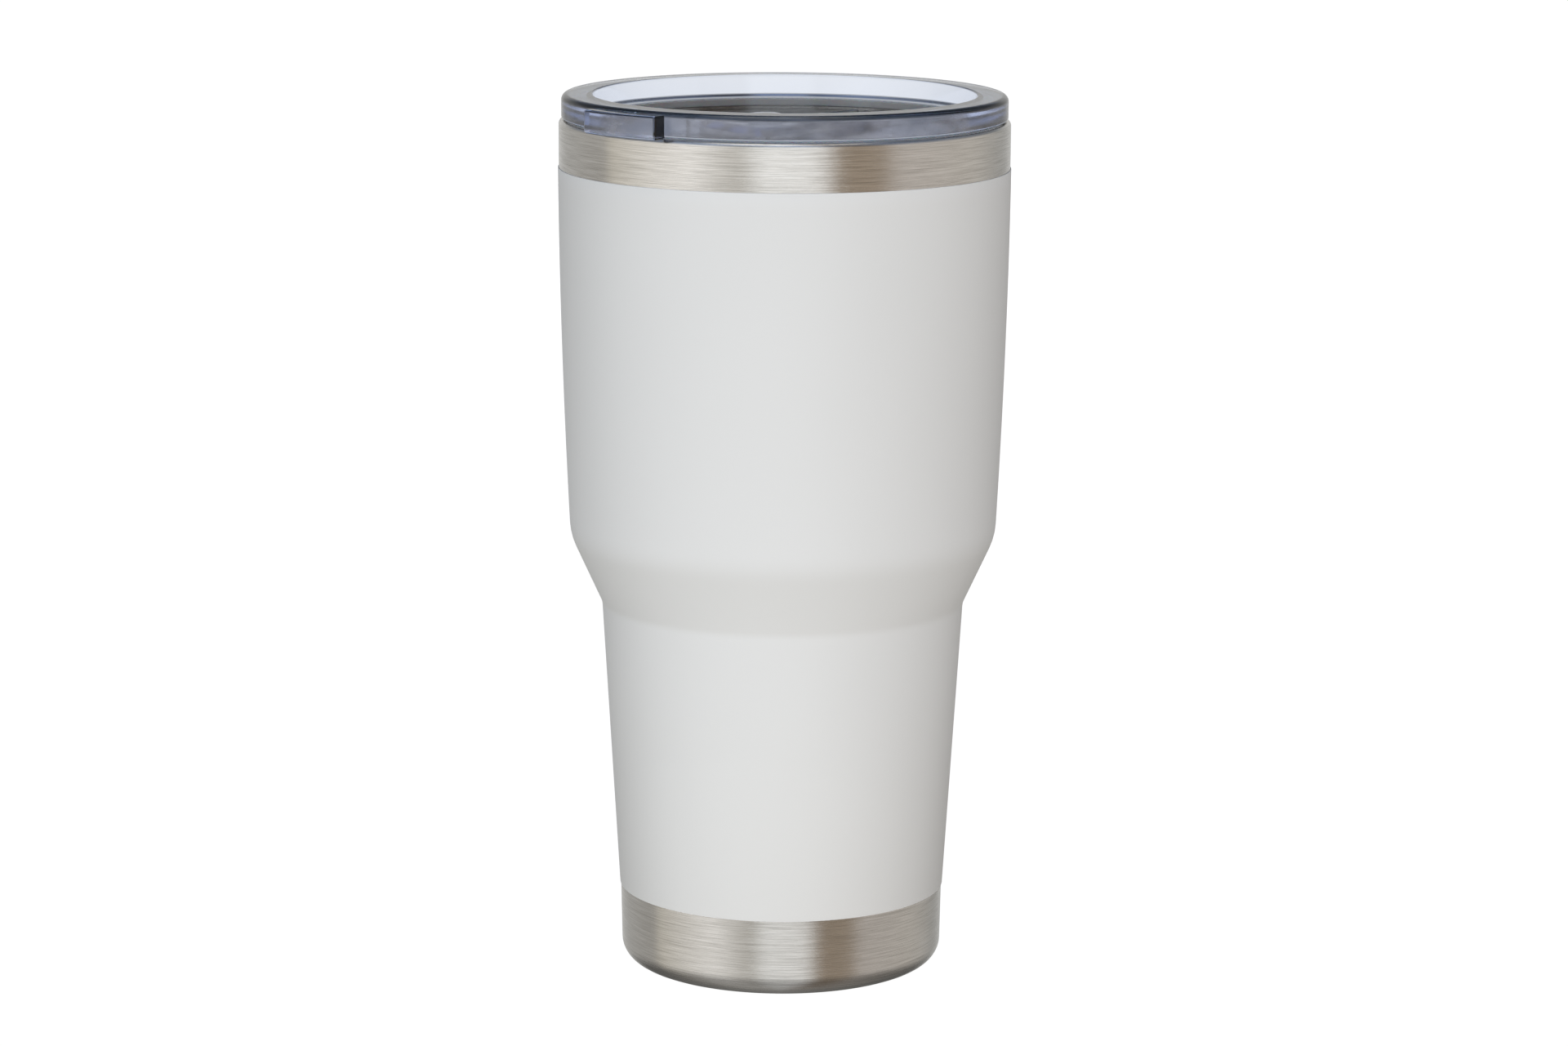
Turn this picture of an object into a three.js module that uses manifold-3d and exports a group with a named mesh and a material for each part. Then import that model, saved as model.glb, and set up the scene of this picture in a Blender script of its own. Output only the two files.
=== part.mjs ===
// Insulated tumbler: a double-walled steel cup with a powder-coated wall, and a clear push-in lid
// with a sliding sip cover. Millimetres, +Z up. The origin is the centre of the ring that the cup
// stands on. Heights are above the table, and outlines are lists of [radius, height] pairs, drawn
// anticlockwise: out along the bottom, up the outside, and back down the inside.
import * as THREE from "three";
import { mergeVertices } from "three/addons/utils/BufferGeometryUtils.js";
import Module from "manifold-3d";

const wasm = await Module();
wasm.setup();

// ---- Driving dimensions ----------------------------------------------------------------------

const SIDES = 48; // facets round each large turned piece
const SMALL_SIDES = 24; // facets round a knob, pill or bead
const WELD_GAP = 0.1; // clearance left at a welded or pressed seam
const REST_GAP = 0.3; // clearance under a piece that rests on its neighbour

// Cup, outside
const RIM_RADIUS = 50.8;
const RIM_TOP = 194.4;
const SHELL_WALL = 0.6;
const SHOULDER = { radius: 48.24, height: 99.93, fillet: 14 };
const NECK = { radius: 41.06, height: 84.33, fillet: 5 };
const WALL_BULGE = 0.45; // how far the upper wall bows out between the coat's top edge and the shoulder
const COAT_TOP = 183.7;
const COAT_BOTTOM = 18;
const COAT_THICKNESS = 0.15;
const COAT_GAP = 0.05;
const FOOT_RADIUS = 37.03; // radius of the steel at the coat's bottom edge
const BASE_RADIUS = 36.75; // radius of the steel where its bottom corner starts
const CORNER_RADIUS = 4.8; // rounding where the wall meets the base
const BASE_OPENING = 27; // inner edge of the ring that the cup stands on

// Cup, inside
const MOUTH_RADIUS = 47.2;
const LINER_WALL = 0.5;
const LINER_FLOOR = 12.5;
const LINER_CORNER = 6;
const LINER_SEAM = 21; // height of the weld between the liner's tube and its bottom
const FOIL_THICKNESS = 0.15;
const FOIL_GAP = 0.15;
const FOIL_ENDS = { bottom: 26, top: 178 };
const PORT_PLATE = { bottom: 6.6, thickness: 0.7, radius: 36, flange: 1.4 };
const PORT = { radius: 1.2, dimple: 5, rise: 1.2 };
const BASE_CAP = { recess: 0.6, thickness: 0.7, height: 3.4 };
const GETTER = { offset: 20, radius: 3.6, height: 1.6, strip: 0.4, width: 6 };

// Lid
const LID_TOP = 200.2;
const LID_RADIUS = 50.2;
const LID_MOUTH = 43.2;
const LID_FLOOR = 190.5;
const LID_FLOOR_THICKNESS = 2;
const LID_TAPER = 1.3; // how much narrower the recess is at its floor
const PLUG = { radius: 46, bottom: 184.5, inner: 43.5 };
const GROOVE = { bottom: 192.7, depth: 1.6 }; // open at the top, up to the ring's underside
const GASKET = { radius: 47.1, clearance: 0.15 };
const LID_TURN = (47 * Math.PI) / 180; // direction of the sip hole from +X; the thumb tab is opposite it
const TAB = { width: 22.2, reach: 53.9, top: 199.6, bottom: 194.3, root: 0.25 };

// Sliding sip cover, laid out along the line from the thumb tab (minus) to the sip hole (plus)
const SIP_HOLE = { centre: 32, length: 10, width: 20, corner: 4 };
const VENT = { centre: -31, radius: 1.5 };
const TRAVEL = 14;
const KNOB = { centre: -6.3, radius: 4, foot: 5.4, top: 196.3 };
const PLATE = { behind: 12, ahead: 32, width: 23, thickness: 2, corner: 4 };
const LEG = { centre: 9, length: 5, thickness: 1.2, spread: 2.7, drop: 1.6, barb: 1.2 };
const SLOT = { width: 6, clearance: 0.3 };
const RAIL = { height: 2.4, width: 1.2, from: -19, to: 38 };

// ---- Sizes that follow from them -------------------------------------------------------------

const LINER_INSET = RIM_RADIUS - MOUTH_RADIUS; // both walls and the vacuum between them
const BEAD_RADIUS = LINER_INSET / 2; // the rim is a full round over both walls
const BEAD_CENTRE = { radius: RIM_RADIUS - BEAD_RADIUS, height: RIM_TOP - BEAD_RADIUS };
const LIP_BOTTOM = BEAD_CENTRE.height - 1; // where the rolled lip ends and the liner begins
const LID_UNDERSIDE = LID_FLOOR - LID_FLOOR_THICKNESS;
const RING_BOTTOM = RIM_TOP + REST_GAP;
const PLATE_BOTTOM = LID_FLOOR + REST_GAP;
const PLATE_TOP = PLATE_BOTTOM + PLATE.thickness;
const LEG_START = KNOB.centre + LEG.centre - LEG.length / 2;

// ---- Materials -------------------------------------------------------------------------------

function metal(color, roughness) {
  return new THREE.MeshStandardMaterial({ color, roughness, metalness: 1 });
}

function plastic(color, roughness) {
  return new THREE.MeshStandardMaterial({ color, roughness, metalness: 0 });
}

function clearPlastic(color, opacity) {
  return new THREE.MeshStandardMaterial({ color, opacity, transparent: true, roughness: 0.08 });
}

// ---- Geometry helpers ------------------------------------------------------------------------

// Joins shared vertices and drops the empty triangles that an outline makes on the axis.
function weld(geometry) {
  const bare = geometry.clone();
  bare.deleteAttribute("normal");
  bare.deleteAttribute("uv");
  const merged = mergeVertices(bare, 1e-4);
  const kept = [];
  const index = merged.index.array;
  for (let i = 0; i < index.length; i += 3) {
    const [a, b, c] = [index[i], index[i + 1], index[i + 2]];
    if (a !== b && b !== c && c !== a) {
      kept.push(a, b, c);
    }
  }
  merged.setIndex(kept);
  merged.computeVertexNormals();
  return merged;
}

// Spins a closed [radius, height] outline round the Z axis.
function turned(outline, sides = SIDES) {
  const points = outline.map(([radius, height]) => new THREE.Vector2(radius, height));
  if (points[0].x > 0) {
    points.push(points[0].clone());
  }
  return weld(new THREE.LatheGeometry(points, sides).rotateX(Math.PI / 2));
}

// Raises a flat shape from one height to another.
function raised(shape, bottom, top, curveSegments = 5) {
  const options = { depth: top - bottom, bevelEnabled: false, curveSegments };
  return weld(new THREE.ExtrudeGeometry(shape, options).translate(0, 0, bottom));
}

// A rectangle with rounded corners between two corners.
function roundedRectangle(x0, y0, x1, y1, corner) {
  const shape = new THREE.Shape();
  shape.moveTo(x0 + corner, y0);
  shape.lineTo(x1 - corner, y0);
  shape.absarc(x1 - corner, y0 + corner, corner, -Math.PI / 2, 0);
  shape.lineTo(x1, y1 - corner);
  shape.absarc(x1 - corner, y1 - corner, corner, 0, Math.PI / 2);
  shape.lineTo(x0 + corner, y1);
  shape.absarc(x0 + corner, y1 - corner, corner, Math.PI / 2, Math.PI);
  shape.lineTo(x0, y0 + corner);
  shape.absarc(x0 + corner, y0 + corner, corner, Math.PI, Math.PI * 1.5);
  return shape;
}

function toSolid(geometry) {
  const vertProperties = new Float32Array(geometry.attributes.position.array);
  const triVerts = new Uint32Array(geometry.index.array);
  return new wasm.Manifold(new wasm.Mesh({ numProp: 3, vertProperties, triVerts }));
}

function toGeometry(solid) {
  const mesh = solid.getMesh();
  const geometry = new THREE.BufferGeometry();
  geometry.setAttribute("position", new THREE.BufferAttribute(mesh.vertProperties, 3));
  geometry.setIndex(new THREE.BufferAttribute(mesh.triVerts, 1));
  geometry.computeVertexNormals();
  return geometry;
}

// Joins the added geometries to a base, then cuts the removed ones out of it.
function combined(base, added, removed) {
  let solid = toSolid(base);
  for (const geometry of added) {
    solid = solid.add(toSolid(geometry));
  }
  for (const geometry of removed) {
    solid = solid.subtract(toSolid(geometry));
  }
  return toGeometry(solid);
}

// Points on a circle in the outline's plane, from one angle to another.
function arc(radius, height, size, from, to, steps) {
  const points = [];
  for (let i = 0; i <= steps; i += 1) {
    const angle = from + ((to - from) * i) / steps;
    points.push([radius + size * Math.cos(angle), height + size * Math.sin(angle)]);
  }
  return points;
}

// Rounds the corner between two straight stretches of an outline.
function fillet(before, corner, after, size, steps) {
  const at = new THREE.Vector2(...corner);
  const back = new THREE.Vector2(...before).sub(at).normalize();
  const ahead = new THREE.Vector2(...after).sub(at).normalize();
  const half = Math.acos(back.dot(ahead)) / 2;
  const middle = back.clone().add(ahead).normalize();
  const centre = at.clone().addScaledVector(middle, size / Math.sin(half));
  const start = at.clone().addScaledVector(back, size / Math.tan(half)).sub(centre);
  const turn = Math.sign(start.cross(middle.clone().negate())) * (Math.PI - 2 * half);
  const points = [];
  for (let i = 0; i <= steps; i += 1) {
    const spoke = start.clone().rotateAround(new THREE.Vector2(), (turn * i) / steps);
    points.push([centre.x + spoke.x, centre.y + spoke.y]);
  }
  return points;
}

// ---- The cup's walls -------------------------------------------------------------------------

// The steel's outer face between the base corner and the rim, from the bottom up.
function wallOutline() {
  const foot = [BASE_RADIUS, CORNER_RADIUS];
  const band = [FOOT_RADIUS, COAT_BOTTOM];
  const neck = [NECK.radius, NECK.height];
  const shoulder = [SHOULDER.radius, SHOULDER.height];
  const upper = [];
  const steps = 4;
  for (let i = 1; i <= steps; i += 1) {
    const part = i / steps;
    const bulge = 4 * WALL_BULGE * part * (1 - part);
    const radius = SHOULDER.radius + (RIM_RADIUS - SHOULDER.radius) * part + bulge;
    upper.push([radius, SHOULDER.height + (COAT_TOP - SHOULDER.height) * part]);
  }
  return [
    foot,
    band,
    ...fillet(band, neck, shoulder, NECK.fillet, 1),
    ...fillet(neck, shoulder, upper[0], SHOULDER.fillet, 3),
    ...upper,
    [RIM_RADIUS, RIM_TOP - BEAD_RADIUS],
  ];
}

// The stretch of the wall between two heights, moved towards the axis by an inset.
function wallBetween(bottom, top, inset) {
  const points = [];
  for (let i = 0; i < WALL.length; i += 1) {
    const [radius, height] = WALL[i];
    if (height > bottom && height < top) {
      points.push([radius - inset, height]);
    }
  }
  return [[wallRadius(bottom) - inset, bottom], ...points, [wallRadius(top) - inset, top]];
}

// The steel's outer radius at a height.
function wallRadius(height) {
  const above = WALL.findIndex((point) => point[1] >= height);
  const [r1, z1] = WALL[Math.max(above, 1)];
  const [r0, z0] = WALL[Math.max(above, 1) - 1];
  return r0 + ((r1 - r0) * (height - z0)) / (z1 - z0);
}

// A thin tube that follows the wall, between an outer and an inner inset.
function sleeve(bottom, top, outerInset, innerInset) {
  const outside = wallBetween(bottom, top, outerInset);
  const inside = wallBetween(bottom, top, innerInset).reverse();
  return turned([...outside, ...inside]);
}

const WALL = wallOutline();

// Steel outer shell: base ring, tapered wall, shoulder and the lip rolled over into the mouth.
function outerShell() {
  const { radius, height } = BEAD_CENTRE;
  const foot = WALL[0];
  const thin = BEAD_RADIUS - SHELL_WALL;
  const flat = foot[0] - CORNER_RADIUS;
  const top = WALL[WALL.length - 1][1];
  return turned([
    [BASE_OPENING, 0],
    ...arc(flat, CORNER_RADIUS, CORNER_RADIUS, -Math.PI / 2, 0, 3),
    ...wallBetween(foot[1], top, 0).slice(1, -1),
    ...arc(radius, height, BEAD_RADIUS, 0, Math.PI, 6),
    [MOUTH_RADIUS, LIP_BOTTOM],
    [MOUTH_RADIUS + SHELL_WALL, LIP_BOTTOM],
    ...arc(radius, height, thin, Math.PI, 0, 4),
    ...wallBetween(foot[1], top, SHELL_WALL).slice(1, -1).reverse(),
    ...arc(flat, CORNER_RADIUS, CORNER_RADIUS - SHELL_WALL, 0, -Math.PI / 2, 3),
    [BASE_OPENING, SHELL_WALL],
  ]);
}

function powderCoat() {
  return sleeve(COAT_BOTTOM, COAT_TOP, -COAT_GAP - COAT_THICKNESS, -COAT_GAP);
}

function linerWall() {
  return sleeve(LINER_SEAM, LIP_BOTTOM - WELD_GAP, LINER_INSET - LINER_WALL, LINER_INSET);
}

function linerBottom() {
  const seam = LINER_SEAM - WELD_GAP;
  const inner = wallRadius(seam) - LINER_INSET;
  const corner = inner - LINER_CORNER;
  const middle = LINER_FLOOR + LINER_CORNER;
  return turned([
    [0, LINER_FLOOR - LINER_WALL],
    ...arc(corner, middle, LINER_CORNER + LINER_WALL, -Math.PI / 2, 0, 3),
    [inner + LINER_WALL, seam],
    [inner, seam],
    ...arc(corner, middle, LINER_CORNER, 0, -Math.PI / 2, 3),
    [0, LINER_FLOOR],
  ]);
}

// Copper radiation shield wrapped round the liner, inside the vacuum.
function copperFoil() {
  const inner = LINER_INSET - LINER_WALL - FOIL_GAP;
  return sleeve(FOIL_ENDS.bottom, FOIL_ENDS.top, inner - FOIL_THICKNESS, inner);
}

// ---- The cup's base --------------------------------------------------------------------------

// Plate that closes the vacuum, with a dimple and the port that the air is drawn out through.
function portPlate() {
  const { bottom, thickness, radius, flange } = PORT_PLATE;
  const top = bottom + thickness;
  return turned([
    [PORT.radius, bottom + PORT.rise],
    [PORT.dimple - 1, bottom + PORT.rise],
    [PORT.dimple, bottom],
    [radius - thickness, bottom],
    [radius - thickness, bottom - flange],
    [radius, bottom - flange],
    [radius, top],
    [PORT.dimple, top],
    [PORT.dimple - 1, top + PORT.rise],
    [PORT.radius, top + PORT.rise],
  ]);
}

// Drop of sealing glass, melted into the dimple under the port.
function sealBead() {
  const top = PORT_PLATE.bottom + PORT.rise - WELD_GAP;
  const edge = PORT.dimple - 2;
  const outline = [[0, top - 1.4], [edge * 0.6, top - 1.1], [edge, top - 0.3], [edge, top], [0, top]];
  return turned(outline, SMALL_SIDES);
}

// Pressed disc that hides the port and finishes the underside.
function baseCap() {
  const { recess, thickness, height } = BASE_CAP;
  const edge = BASE_OPENING - WELD_GAP;
  return turned([
    [0, recess],
    [edge - 1, recess],
    [edge, recess + 1],
    [edge, height],
    [edge - thickness, height],
    [edge - thickness, recess + 1.4],
    [edge - 1.1, recess + thickness],
    [0, recess + thickness],
  ]);
}

// Spring strip that holds the getter pill, open towards the two sides.
function getterClip() {
  const { offset, radius, height, strip, width } = GETTER;
  const base = PORT_PLATE.bottom + PORT_PLATE.thickness + WELD_GAP;
  const half = radius + 0.3 + strip;
  const top = base + strip + height + 0.6;
  const outline = new THREE.Shape();
  outline.moveTo(-half, base);
  outline.lineTo(half, base);
  outline.lineTo(half, top + strip);
  outline.lineTo(half - 1.6, top + strip);
  outline.lineTo(half - 1.6, top);
  outline.lineTo(half - strip, top);
  outline.lineTo(half - strip, base + strip);
  outline.lineTo(-half + strip, base + strip);
  outline.lineTo(-half + strip, top);
  outline.lineTo(-half + 1.6, top);
  outline.lineTo(-half + 1.6, top + strip);
  outline.lineTo(-half, top + strip);
  const bar = new THREE.ExtrudeGeometry(outline, { depth: width, bevelEnabled: false });
  return weld(bar.translate(0, 0, -width / 2).rotateX(Math.PI / 2).translate(offset, 0, 0));
}

function getterPill() {
  const bottom = PORT_PLATE.bottom + PORT_PLATE.thickness + WELD_GAP + GETTER.strip + REST_GAP;
  const pill = new THREE.CylinderGeometry(GETTER.radius, GETTER.radius, GETTER.height, SMALL_SIDES);
  return weld(pill.rotateX(Math.PI / 2).translate(GETTER.offset, 0, bottom + GETTER.height / 2));
}

// ---- The lid ---------------------------------------------------------------------------------

// Turned body of the lid: rim ring, recess, floor and the plug with its gasket groove.
function lidBlank() {
  const recess = LID_MOUTH - LID_TAPER;
  return turned([
    [0, LID_UNDERSIDE],
    [PLUG.inner, LID_UNDERSIDE],
    [PLUG.inner, PLUG.bottom],
    [PLUG.radius - 0.6, PLUG.bottom],
    [PLUG.radius, PLUG.bottom + 0.6],
    [PLUG.radius, GROOVE.bottom],
    [PLUG.radius - GROOVE.depth, GROOVE.bottom],
    [PLUG.radius - GROOVE.depth, RING_BOTTOM],
    [LID_RADIUS - 0.4, RING_BOTTOM],
    [LID_RADIUS, RING_BOTTOM + 0.4],
    ...arc(LID_RADIUS - 0.8, LID_TOP - 0.8, 0.8, 0, Math.PI / 2, 2),
    ...arc(LID_MOUTH + 0.5, LID_TOP - 0.5, 0.5, Math.PI / 2, Math.PI, 2),
    [recess, LID_FLOOR + 1],
    [recess - 1, LID_FLOOR],
    [0, LID_FLOOR],
  ]);
}

// Thumb tab that stands out of the ring: a curved block that starts just inside the ring's face and
// hangs slightly lower than it, clear of the steel lip.
function thumbTab() {
  const { width, reach, top, bottom, root } = TAB;
  const half = width / 2 / reach;
  const shape = new THREE.Shape();
  shape.absarc(0, 0, reach, Math.PI - half, Math.PI + half);
  shape.absarc(0, 0, LID_RADIUS - root, Math.PI + half, Math.PI - half, true);
  return raised(shape, bottom, top);
}

// Guide rail beside the sliding cover, standing on the lid's floor.
function rail(side) {
  const middle = side * (PLATE.width / 2 + SLOT.clearance + RAIL.width / 2);
  const [low, high] = [middle - RAIL.width / 2, middle + RAIL.width / 2];
  const sunk = LID_FLOOR - 0.5;
  return raised(roundedRectangle(RAIL.from, low, RAIL.to, high, 0.5), sunk, LID_FLOOR + RAIL.height, 1);
}

// Cutter that reaches through the lid's floor.
function throughFloor(shape) {
  return raised(shape, LID_UNDERSIDE - 1, LID_FLOOR + 1);
}

function sipHole() {
  const { centre, length, width, corner } = SIP_HOLE;
  const [near, far] = [centre - length / 2, centre + length / 2];
  return throughFloor(roundedRectangle(near, -width / 2, far, width / 2, corner));
}

// Slot that the cover's legs run in, as long as the legs plus their travel.
function legSlot() {
  const start = LEG_START - SLOT.clearance;
  const end = LEG_START + LEG.length + TRAVEL + SLOT.clearance;
  return throughFloor(roundedRectangle(start, -SLOT.width / 2, end, SLOT.width / 2, 0.8));
}

function ventHole() {
  const shape = new THREE.Shape();
  shape.absarc(VENT.centre, 0, VENT.radius, 0, Math.PI * 2);
  return throughFloor(shape);
}

function lidBody() {
  const turn = (geometry) => geometry.rotateZ(LID_TURN);
  const added = [thumbTab(), rail(-1), rail(1)].map(turn);
  const removed = [sipHole(), legSlot(), ventHole()].map(turn);
  return combined(lidBlank(), added, removed);
}

// Silicone ring in the groove, close under the lid's ring, with two sealing lips.
function lidGasket() {
  const inner = PLUG.radius - GROOVE.depth + GASKET.clearance;
  const bottom = GROOVE.bottom + GASKET.clearance;
  const top = RING_BOTTOM - REST_GAP;
  const waist = PLUG.radius + 0.2;
  const step = (top - bottom) / 4;
  return turned([
    [inner, bottom],
    [waist, bottom],
    [GASKET.radius, bottom + step],
    [waist, bottom + 2 * step],
    [GASKET.radius, top - step],
    [waist, top],
    [inner, top],
  ]);
}

// ---- The sliding sip cover -------------------------------------------------------------------

function knob() {
  const { radius, foot, top } = KNOB;
  const shape = turned([
    [0, PLATE_TOP - 0.5],
    [foot, PLATE_TOP - 0.5],
    [foot, PLATE_TOP],
    [radius, PLATE_TOP + 1.2],
    [radius, top - 0.7],
    [radius - 0.7, top - 0.1],
    [0, top],
  ], SMALL_SIDES);
  return shape.translate(KNOB.centre, 0, 0);
}

// Springy leg that passes through the slot, with a barb that hooks under the lid's floor.
function leg(side) {
  const bottom = LID_UNDERSIDE - LEG.drop;
  const barbTop = LID_UNDERSIDE - REST_GAP;
  const inner = LEG.spread - LEG.thickness;
  const outline = new THREE.Shape();
  outline.moveTo(side * inner, PLATE_BOTTOM + 0.5);
  outline.lineTo(side * inner, bottom);
  outline.lineTo(side * LEG.spread, bottom);
  outline.lineTo(side * (LEG.spread + LEG.barb), barbTop - 0.3);
  outline.lineTo(side * (LEG.spread + LEG.barb), barbTop);
  outline.lineTo(side * LEG.spread, barbTop);
  outline.lineTo(side * LEG.spread, PLATE_BOTTOM + 0.5);
  const bar = new THREE.ExtrudeGeometry(outline, { depth: LEG.length, bevelEnabled: false });
  return weld(bar.rotateX(Math.PI / 2).rotateZ(Math.PI / 2).translate(LEG_START, 0, 0));
}

function sipCover() {
  const [back, front] = [KNOB.centre - PLATE.behind, KNOB.centre + PLATE.ahead];
  const outline = roundedRectangle(back, -PLATE.width / 2, front, PLATE.width / 2, PLATE.corner);
  const plate = raised(outline, PLATE_BOTTOM, PLATE_TOP);
  return combined(plate, [knob(), leg(-1), leg(1)], []);
}

// ---- Assembly --------------------------------------------------------------------------------

const STEEL = metal(0xb9b3a9, 0.34);
const INNER_STEEL = metal(0xb4b1ab, 0.3);
const COPPER = metal(0xb87350, 0.35);
const COATING = plastic(0xe4e4e2, 0.6);
const CLEAR = clearPlastic(0xc9cbdc, 0.4);
const SILICONE = plastic(0xe6e8ea, 0.55);
const GLASS = plastic(0x2f4a3c, 0.2);
const GETTER_METAL = metal(0x6d6a66, 0.7);

function piece(name, geometry, material) {
  const mesh = new THREE.Mesh(geometry, material);
  mesh.name = name;
  return mesh;
}

const cup = new THREE.Group();
cup.add(
  piece("outer_shell", outerShell(), STEEL),
  piece("powder_coat", powderCoat(), COATING),
  piece("liner_wall", linerWall(), INNER_STEEL),
  piece("liner_bottom", linerBottom(), INNER_STEEL),
  piece("copper_foil", copperFoil(), COPPER),
  piece("vacuum_port_plate", portPlate(), STEEL),
  piece("port_seal_bead", sealBead(), GLASS),
  piece("getter_clip", getterClip(), STEEL),
  piece("getter_pill", getterPill(), GETTER_METAL),
  piece("base_cap", baseCap(), STEEL),
);

const slider = new THREE.Group();
slider.rotation.z = LID_TURN;
slider.add(piece("sip_cover", sipCover(), CLEAR));

const lid = new THREE.Group();
lid.add(piece("lid_body", lidBody(), CLEAR), piece("lid_gasket", lidGasket(), SILICONE), slider);

const tumbler = new THREE.Group();
tumbler.add(cup, lid);

export default tumbler;
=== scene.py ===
"""Looks of an insulated steel tumbler with a clear push-in lid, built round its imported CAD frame.

Lengths in the outlines are millimetres, turned into metres when a mesh is made. Heights are above the
table, and an outline's corners are (radius, height, rounding), drawn anticlockwise.
"""

import math

import bmesh
import bpy
from mathutils import Matrix, Vector


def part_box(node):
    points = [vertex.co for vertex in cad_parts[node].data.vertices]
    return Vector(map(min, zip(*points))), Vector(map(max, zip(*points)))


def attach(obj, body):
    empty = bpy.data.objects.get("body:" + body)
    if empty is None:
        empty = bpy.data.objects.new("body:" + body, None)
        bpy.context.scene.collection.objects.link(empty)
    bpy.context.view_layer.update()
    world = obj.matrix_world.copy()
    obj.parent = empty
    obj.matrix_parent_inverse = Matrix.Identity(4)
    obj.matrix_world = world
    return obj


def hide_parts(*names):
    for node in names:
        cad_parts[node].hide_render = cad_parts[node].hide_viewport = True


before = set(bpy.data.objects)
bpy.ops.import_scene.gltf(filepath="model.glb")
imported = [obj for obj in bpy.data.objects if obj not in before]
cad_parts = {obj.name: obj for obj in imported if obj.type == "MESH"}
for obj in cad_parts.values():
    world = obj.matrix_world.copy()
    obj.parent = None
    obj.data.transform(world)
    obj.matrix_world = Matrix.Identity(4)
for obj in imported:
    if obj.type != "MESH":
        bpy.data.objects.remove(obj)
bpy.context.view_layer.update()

MM = 0.001
ROUND = 192          # facets round the cup and lid
SMALL_ROUND = 64     # facets round the knob

# ---- Sizes from the frame --------------------------------------------------------------------


def top_mm(node):
    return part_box(node)[1].z / MM


def bottom_mm(node):
    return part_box(node)[0].z / MM


def reach_mm(node):
    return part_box(node)[1].x / MM


RIM_RADIUS = reach_mm("outer_shell")
RIM_TOP = top_mm("outer_shell")
COAT_RADIUS = reach_mm("powder_coat")
COAT_TOP = top_mm("powder_coat")
COAT_BOTTOM = bottom_mm("powder_coat")
LINER_SEAM = bottom_mm("liner_wall")
LINER_TOP = top_mm("liner_wall")
LINER_FLOOR = bottom_mm("liner_bottom") + 0.5
CAP_RADIUS = reach_mm("base_cap")
CAP_BOTTOM = bottom_mm("base_cap")
CAP_TOP = top_mm("base_cap")
LID_RADIUS = reach_mm("lid_body")
LID_TOP = top_mm("lid_body")
PLUG_BOTTOM = bottom_mm("lid_body")
GASKET_RADIUS = reach_mm("lid_gasket")
GASKET_BOTTOM = bottom_mm("lid_gasket")
GASKET_TOP = top_mm("lid_gasket")
KNOB_TOP = top_mm("sip_cover")
LEG_BOTTOM = bottom_mm("sip_cover")

# ---- Sizes the frame's boxes don't give ------------------------------------------------------

SHELL_WALL = 0.6
LINER_WALL = 0.5
WALL_DEPTH = 3.6                    # both steel walls and the vacuum between them
SHOULDER = (48.24, 99.93, 14.0)
NECK = (41.06, 84.33, 5.0)
FOOT_RADIUS = 37.03                 # steel radius at the coat's bottom edge
BASE_RADIUS = 36.75                 # steel radius where the bottom corner starts
WALL_BULGE = 0.45
CORNER = 4.8                        # rounding between wall and base
BASE_OPENING = 27.0
LINER_CORNER = 6.0
COAT_GAP = 0.05

LID_MOUTH = 43.2
LID_FLOOR = 190.5
LID_UNDERSIDE = 188.5
LID_TAPER = 1.3
PLUG_RADIUS = 46.0
PLUG_INNER = 43.5
GROOVE_DEPTH = 1.6
LID_REST = 0.3                      # air between the steel lip and the lid's ring
LID_TURN = math.radians(47)         # from +X to the sip hole; the thumb tab is opposite
TAB_HALF = 11.1
TAB_REACH = 53.9
TAB_TOP = 199.6
TAB_BOTTOM = 194.3
TAB_ROOT = 49.95

SIP_CENTRE = 32.0
SIP_HALF = (5.0, 10.0)
SLOT_ENDS = (-0.1, 19.5)
SLOT_HALF = 3.0
VENT_CENTRE = -31.0
VENT_RADIUS = 1.5
RAIL_ENDS = (-19.0, 38.0)
RAIL_OFFSET = 12.4
RAIL_HALF = 0.6
RAIL_HEIGHT = 2.4
KNOB_CENTRE = -6.3
KNOB_RADIUS = 4.0
KNOB_FOOT = 5.4
PLATE_ENDS = (-18.3, 25.7)
PLATE_HALF = 11.5
PLATE_BOTTOM = 190.8
PLATE_TOP = 192.8
LEG_ENDS = (0.2, 5.2)
LEG_INNER = 1.5
LEG_OUTER = 2.7
LEG_BARB = 3.9

# ---- Camera and studio -----------------------------------------------------------------------

CAMERA_DISTANCE = 1.060
CAMERA_HEIGHT = 0.3066
CAMERA_TILT = math.radians(10.93)
CAMERA_ROLL = math.radians(0.287)
CAMERA_ASIDE = 0.00026
LENS = 108.53
SENSOR = 36.0


def make_camera():
    data = bpy.data.cameras.new("camera")
    data.lens = LENS
    data.sensor_width = SENSOR
    data.clip_start = 0.01
    camera = bpy.data.objects.new("camera", data)
    bpy.context.collection.objects.link(camera)
    place = Matrix.Translation((CAMERA_ASIDE, -CAMERA_DISTANCE, CAMERA_HEIGHT))
    aim = Matrix.Rotation(math.pi / 2 - CAMERA_TILT, 4, "X")
    camera.matrix_world = place @ aim @ Matrix.Rotation(CAMERA_ROLL, 4, "Z")
    bpy.context.scene.camera = camera


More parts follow.
